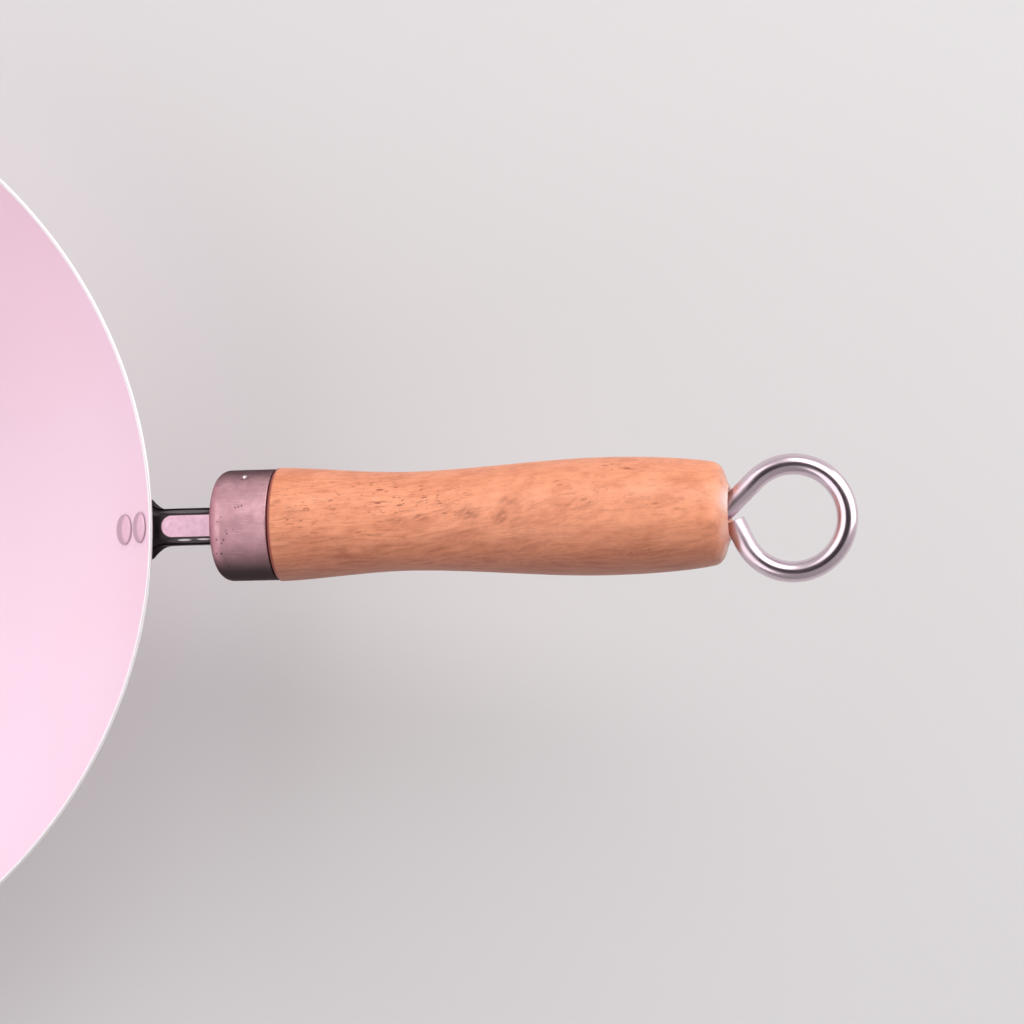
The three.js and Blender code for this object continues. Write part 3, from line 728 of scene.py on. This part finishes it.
WOOD_PALE = (0.97, 0.405, 0.225)
WOOD_TAN = (0.68, 0.225, 0.105)
# partly the wood's own redder colour below, partly painted shade on the lower side
WOOD_RED_AND_SHADE = (0.41, 0.132, 0.078)
# painted shade along the grip's bottom edge
WOOD_PAINTED_SHADE = (0.20, 0.068, 0.046)
WOOD_SMUDGE = (0.33, 0.092, 0.04)
WOOD_FLECK = (0.33, 0.078, 0.03)
# painted shade in the gap beside the ferrule
GAP_PAINTED_SHADE = (0.30, 0.06, 0.045)
# painted sheen on the grip's end
PAINTED_SHEEN = (0.98, 0.76, 0.69)
FLECK_CLUSTERS = [  # along and across in millimetres, half-length, half-width, strength
    (47, 3, 10, 9, 0.9), (56, 7, 12, 6, 0.7), (74, 6.5, 17, 8, 1.0), (90, 4, 12, 6, 0.8),
    (141, 13.5, 10, 3.2, 1.0), (128, 7, 20, 7, 0.35), (62, -4, 12, 4, 0.35), (153, 2, 6, 4, 0.4),
]
SMUDGES = [  # as above
    (83, 0.2, 3.6, 1.4, 0.9), (82.4, 4.8, 2.2, 0.9, 0.8), (97, 0.8, 4.8, 3.6, 0.8),
    (77, -0.9, 4.0, 1.4, 0.7), (106.3, 0.2, 3.6, 3.8, 0.85), (109, 4.2, 5.0, 1.9, 0.7),
    (90, 3.0, 3.6, 1.5, 0.5), (113, 4.4, 4.0, 2.0, 0.4), (128, 2.5, 9.0, 3.0, 0.45),
    (111, 0, 12.0, 5.0, 0.4), (116, -9.5, 13.0, 2.6, 0.55), (145, -10.5, 14.0, 2.4, 0.7),
    (150, 3.0, 9.0, 2.6, 0.3), (66, -9.0, 14.0, 2.4, 0.5), (46, 2.0, 5.0, 3.0, 0.45),
    (166, -4.2, 1.4, 1.6, 0.5),
]
# patches of painted sheen on the end
PAINTED_SHEEN_SPOTS = [(170.6, 3.4, 3.6, 5.0, 1.0), (170.0, -6.0, 2.6, 5.0, 0.25)]
STREAK_LEAN = math.radians(6)
BLOTCH_LEAN = math.radians(25)

wood, shader, place = finish("turned_hardwood", {"Coat Roughness": 0.25})
on_handle = place.turn(HANDLE.translation, HANDLE.to_euler(), kind="TEXTURE")
along = on_handle.axis("X")
aside = on_handle.axis("Y")
waver = on_handle.noise(20, 1) - 0.5
wavering = on_handle.node("VectorMath", {"operation": "ADD"}, {
    0: on_handle, 1: waver.node("CombineXYZ", {}, {"Y": waver * 7 * MM, "Z": waver * 5 * MM}),
})
unrolled = along.node("CombineXYZ", {}, {
    "X": along, "Y": along.math("ARCTAN2", aside, on_handle.axis("Z")) * WAIST[0],
})


def along_grain(scale, share, detail, lean=STREAK_LEAN):
    """Noise that is drawn out along the grain: the share is its width for a length of 1."""
    drawn = wavering.turn(rotation=(0, 0, lean), scale=(1 / share, 1, 1), kind="TEXTURE")
    return drawn.noise(scale, detail, 0.6)


def scattered(scale, share, lean):
    """Separate oval marks of many sizes on the grip's surface."""
    drawn = unrolled.turn(rotation=(0, 0, lean), scale=(1 / share, 1, 1), kind="TEXTURE")
    flat_cells = {"voronoi_dimensions": "2D"}
    off = drawn.node("TexVoronoi", flat_cells, {"Vector": drawn, "Scale": scale}, "Distance")
    chance = drawn.node("TexVoronoi", flat_cells, {"Vector": drawn, "Scale": scale}, "Color").axis("X")
    ragged = off + (drawn.noise(scale * 3, 3) - 0.5) * 0.16
    return 1 - (ragged / (0.02 + chance * chance * 0.17)).rise(0.6, 1.15)


fibre = along_grain(2300, 0.06, 2)
streak = along_grain(1050, 0.09, 3)
ribbon = along_grain(260, 0.16, 3)
blotch = along_grain(190, 0.5, 4, BLOTCH_LEAN)
dashes = along_grain(1300, 0.14, 2).rise(0.58, 0.68)
flecks = scattered(480, 0.32, STREAK_LEAN).most(scattered(700, 0.45, BLOTCH_LEAN) * 0.8)
clusters = spots(on_handle, FLECK_CLUSTERS, 0.2)
smudge = along_grain(420, 0.4, 4, BLOTCH_LEAN).rise(0.34, 0.64) * 0.45
smudge = smudge + along_grain(1000, 0.24, 3, BLOTCH_LEAN).rise(0.44, 0.62) * 0.55
smudge = smudge * spots(on_handle, SMUDGES, 0.1)
# redder wood and painted shade towards the lower side
red_and_shade_below = (0 - aside + (ribbon - 0.5) * 14 * MM).rise(-1 * MM, 14 * MM)
plainer = along.rise(88 * MM, 125 * MM)
tone = fibre.rise(0.32, 0.72) * (0.26 - plainer * 0.12) + streak.rise(0.38, 0.72) * (0.34 - plainer * 0.18)
tone = tone + ribbon.rise(0.4, 0.75) * 0.14 + blotch.rise(0.42, 0.72) * (0.38 + plainer * 0.14)
tone = tone + on_handle.noise(260, 5, 0.65).rise(0.42, 0.68) * 0.2 + aside.rise(6 * MM, 14 * MM) * 0.35
colour = tone.blend(WOOD_PALE, WOOD_TAN)
colour = (red_and_shade_below * (0.54 + streak.rise(0.45, 0.7) * 0.26)).blend(colour, WOOD_RED_AND_SHADE)
# painted shade along the grip's bottom edge
colour = ((0 - aside).rise(9 * MM, 17 * MM) * 0.4).blend(colour, WOOD_PAINTED_SHADE)
colour = (smudge * 0.95).blend(colour, WOOD_SMUDGE)
colour = (dashes * (0.2 + clusters * 0.3)).blend(colour, WOOD_FLECK)
colour = (flecks * (0.12 + clusters * 0.75)).blend(colour, WOOD_FLECK)
# painted shade in the gap beside the ferrule
colour = (1 - along.rise(GRIP_FRONT + 0.5 * MM, GRIP_FRONT + 1.1 * MM)).blend(colour, GAP_PAINTED_SHADE)
# painted sheen on the grip's end
colour = spots(on_handle, PAINTED_SHEEN_SPOTS, 0.1).blend(colour, PAINTED_SHEEN)
feed(shader, {
    "Base Color": colour,
    "Roughness": 0.42 + streak * 0.16,
    "Coat Weight": 0.15 + along.rise(GRIP_END - 7 * MM, GRIP_END - MM) * 0.85,
    "Normal": (fibre * 0.3 + streak * 0.3 - flecks * clusters * 0.4 - dashes * 0.3).bump(0.18, 0.12 * MM),
})
grip.data.materials.append(wood)
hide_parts("wooden_grip")
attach(grip, "pan")


# Eye bolt: round steel wire, polished, that is bent to a hanging eye with its cut end beside the shank.
# Its shank runs through the grip and screws into the bracket's tail, which holds the whole handle together.

WIRE_SIDES = 40
THREAD_ENGAGED = 14 * MM
EYE_RADIUS = 15.25 * MM
EYE = Vector((GRIP_END + 16 * MM, -1.8 * MM, 0))
WIRE_END = Vector((GRIP_END - 0.6 * MM, -2.3 * MM, 0))
CROTCH_BEND = 6 * MM
CUT_BEVEL = 0.3 * MM
CUT_STEPS = 3
CROTCH_STEPS = 16
EYE_STEPS = 120
WIRE_BRIGHT = (0.78, 0.655, 0.715)
WIRE_HAZED = (0.68, 0.565, 0.625)

bend_at = GRIP_END - CROTCH_DEPTH


def bend_end(turn):
    """Where the wire leaves the crotch's bend after this turn."""
    return Vector((bend_at + CROTCH_BEND * math.sin(turn), CROTCH_BEND * (1 - math.cos(turn)), 0))


def eye_aside(turn):
    """How far the eye's centre lies to the right of the wire after the bend."""
    to_eye = EYE - bend_end(turn)
    return to_eye.x * math.sin(turn) - to_eye.y * math.cos(turn)


crotch_turn = solve(eye_aside, EYE_RADIUS, 0, math.pi / 2)
onto_eye = EYE + EYE_RADIUS * Vector((-math.sin(crotch_turn), math.cos(crotch_turn), 0))
to_end = WIRE_END - EYE
leave = math.atan2(to_end.y, to_end.x) + math.acos(EYE_RADIUS / to_end.length)
off_eye = EYE + EYE_RADIUS * Vector((math.cos(leave), math.sin(leave), 0))
eye_turn = (crotch_turn + math.pi / 2 - leave) % (2 * math.pi)
shank_start = TAIL_END - THREAD_ENGAGED


def draw_wire(step):
    """Draws the wire on in a straight line from its selected end."""
    bpy.ops.mesh.extrude_region_move(TRANSFORM_OT_translate={"value": step})


bpy.ops.object.select_all(action="DESELECT")
bpy.ops.mesh.primitive_circle_add(
    vertices=WIRE_SIDES, radius=WIRE_RADIUS, location=(shank_start, 0, 0), rotation=(0, math.pi / 2, 0)
)
eye = bpy.context.object
eye.name = eye.data.name = "eye"
bpy.ops.object.transform_apply(location=True, rotation=True, scale=True)
bpy.ops.object.mode_set(mode="EDIT")
bpy.ops.mesh.select_mode(type="VERT")
bpy.ops.mesh.select_all(action="SELECT")
draw_wire((bend_at - shank_start, 0, 0))
bpy.ops.mesh.spin(steps=CROTCH_STEPS, angle=-crotch_turn, center=(bend_at, CROTCH_BEND, 0), axis=(0, 0, 1))
draw_wire(onto_eye - bend_end(crotch_turn))
bpy.ops.mesh.spin(steps=EYE_STEPS, angle=eye_turn, center=EYE, axis=(0, 0, 1))
draw_wire(WIRE_END - off_eye)
bpy.ops.mesh.select_all(action="SELECT")
bpy.ops.mesh.remove_doubles(threshold=MM / 1000)
bpy.ops.mesh.fill_holes(sides=0)
bpy.ops.mesh.select_all(action="SELECT")
bpy.ops.mesh.normals_make_consistent(inside=False)
select(eye, "faces", lambda face: len(face.verts) == WIRE_SIDES)
bpy.ops.mesh.bevel(offset=CUT_BEVEL, segments=CUT_STEPS, affect="EDGES")
bpy.ops.object.mode_set(mode="OBJECT")
settle(eye, HANDLE)
smooth(eye)

wire_steel, shader, place = finish("bright_wire", {"Metallic": 1.0})
along = place.turn(HANDLE.translation, HANDLE.to_euler(), kind="TEXTURE").axis("X")
by_wood = 1 - along.rise(GRIP_END + MM, GRIP_END + 9 * MM)
haze = place.noise(240, 4)
feed(shader, {
    "Base Color": haze.blend(WIRE_BRIGHT, WIRE_HAZED),
    "Roughness": 0.15 + haze * 0.1 + by_wood * 0.15,
    "Normal": place.noise(700, 2).bump(0.05, 0.1 * MM),
})
eye.data.materials.append(wire_steel)
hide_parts("eye_bolt")
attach(eye, "eye")


# Studio: a plain pale floor that runs into an even backdrop, in a soft white room.
# Broad lamps stand on the far side of the handle and beyond the eye, and a larger panel beyond the bowl.
# The room is dark overhead, where the camera looks down from.

FLOOR_SIZE = 14
FLOOR_GREY = (0.69, 0.69, 0.685)
FLOOR_PALE = (0.72, 0.72, 0.715)
PALE_ROOM = (0.74, 0.73, 0.73)  # the even backdrop that the floor runs into
BACKDROP_STARTS = 0.7
BACKDROP_FULL = 2.4

bpy.ops.object.select_all(action="DESELECT")
bpy.ops.mesh.primitive_plane_add(size=FLOOR_SIZE)
floor = bpy.context.object
floor.name = floor.data.name = "floor"
floor_paint, shader, place = finish("pale_floor", {"Roughness": 0.7, "Specular IOR Level": 0.2})
feed(shader, {"Base Color": place.noise(3, 2).blend(FLOOR_GREY, FLOOR_PALE)})
far = distance(place, (0, 0, 0)).rise(BACKDROP_STARTS, BACKDROP_FULL)
mirrored = place.node("LightPath", {}, {}, "Is Glossy Ray")
seen = place.node("LightPath", {}, {}, "Is Camera Ray").most(mirrored)
even = place.node("Emission", {}, {"Color": (*PALE_ROOM, 1)})
surface = place.node("MixShader", {}, {0: far * seen, 1: Shade(shader.outputs[0]), 2: even})
feed(floor_paint.node_tree.nodes["Material Output"], {"Surface": surface})
floor.data.materials.append(floor_paint)

LIT_POINT = Vector((0.16, 0, 0.1))


def lamp(name, location, size, watts, colour):
    """A soft area lamp that points at the front of the handle."""
    bpy.ops.object.light_add(type="AREA", location=location)
    made = bpy.context.object
    made.name = made.data.name = name
    made.rotation_euler = (LIT_POINT - Vector(location)).to_track_quat("-Z", "Y").to_euler()
    made.data.shape = "RECTANGLE"
    made.data.size, made.data.size_y = size
    made.data.energy, made.data.color = watts, colour
    made.visible_camera = False


lamp("far_side_lamp", (0.30, 0.95, 1.25), (1.1, 1.1), 7.2, (1.0, 0.97, 0.97))
lamp("eye_lamp", (1.1, 0.4, 0.75), (1.2, 1.3), 7.2, (1.0, 0.98, 0.99))
lamp("bowl_panel", (-1.4, 0, 1.08), (3.2, 1.7), 20.6, (1.0, 0.96, 0.98))

ROOM_LEVEL = 0.75
WINDOW_SIDE = (0.45, 0.89, 0)  # the room is brighter on this side
CAMERA_SIDE = (-0.17, 0, 0.985)  # where the polished parts mirror the dark space round the camera
DARK_FROM = math.radians(34)
DARK_FULL = math.radians(20)
ROOM_DIM = (0.46, 0.435, 0.445)
ROOM_BRIGHT = (0.98, 0.94, 0.96)
ROOM_DARK = (0.05, 0.04, 0.045)

world = bpy.data.worlds.new("soft_room")
bpy.context.scene.world = world
world.use_nodes = True
sky = Shade(world.node_tree.nodes.new("ShaderNodeTexCoord").outputs["Generated"])
to_window = sky.node("VectorMath", {"operation": "DOT_PRODUCT"}, {0: sky, 1: WINDOW_SIDE}, "Value")
window = (to_window * 0.5 + 0.5).blend(ROOM_DIM, ROOM_BRIGHT)
to_camera = sky.node("VectorMath", {"operation": "DOT_PRODUCT"}, {0: sky, 1: CAMERA_SIDE}, "Value")
shade = to_camera.rise(math.cos(DARK_FROM), math.cos(DARK_FULL))
room = shade.blend(window, ROOM_DARK)
backdrop = tuple(level / ROOM_LEVEL for level in PALE_ROOM)
room = sky.node("LightPath", {}, {}, "Is Camera Ray").blend(room, backdrop)
world.node_tree.links.new(room.socket, world.node_tree.nodes["Background"].inputs["Color"])
world.node_tree.nodes["Background"].inputs["Strength"].default_value = ROOM_LEVEL

PHOTO_PIXELS = 1024
FOCAL_PIXELS = 3000
SENSOR_WIDTH = 36  # millimetres
CAMERA_PLACE = (73.3 * MM, -48.7 * MM, 870.7 * MM + RIM_HEIGHT)
CAMERA_TURN = (math.radians(3.56), math.radians(-11.17), math.radians(-0.95))

bpy.ops.object.camera_add(location=CAMERA_PLACE, rotation=CAMERA_TURN)
camera = bpy.context.object
camera.data.sensor_width = SENSOR_WIDTH
camera.data.lens = SENSOR_WIDTH * FOCAL_PIXELS / PHOTO_PIXELS
bpy.context.scene.camera = camera
bpy.context.scene.view_settings.view_transform = "Standard"
